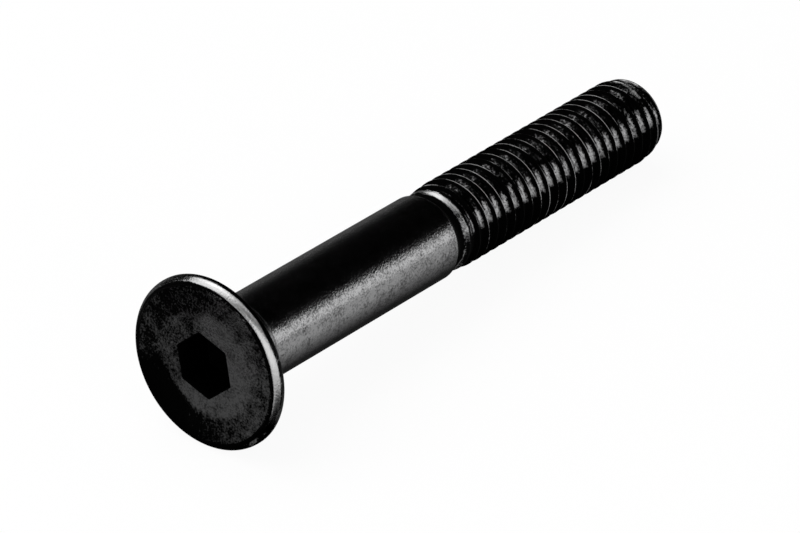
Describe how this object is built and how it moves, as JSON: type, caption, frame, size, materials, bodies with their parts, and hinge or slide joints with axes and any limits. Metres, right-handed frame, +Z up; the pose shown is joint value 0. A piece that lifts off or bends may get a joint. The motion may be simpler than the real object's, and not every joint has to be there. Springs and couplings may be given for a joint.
{
  "type": "countersunk socket screw",
  "caption": "Countersunk head machine screw with a hexagon socket, a plain shank and a coarse right-hand thread on the half towards its tip, black oxide finish, lying on its side.",
  "frame": {"origin": "on the surface that the screw lies on, under the middle of its box", "axes": "+X from the head towards the tip, +Z up; the screw's own axis lies in the XZ plane and dips towards the tip, because the head's rim is wider than the thread"},
  "size_m": [0.0606, 0.0156, 0.0156],
  "materials": {
    "black_oxide_steel": "black oxide, satin, slightly mottled"
  },
  "bodies": {
    "root": {"countersunk_socket_screw": "black_oxide_steel"}
  },
  "joints": []
}
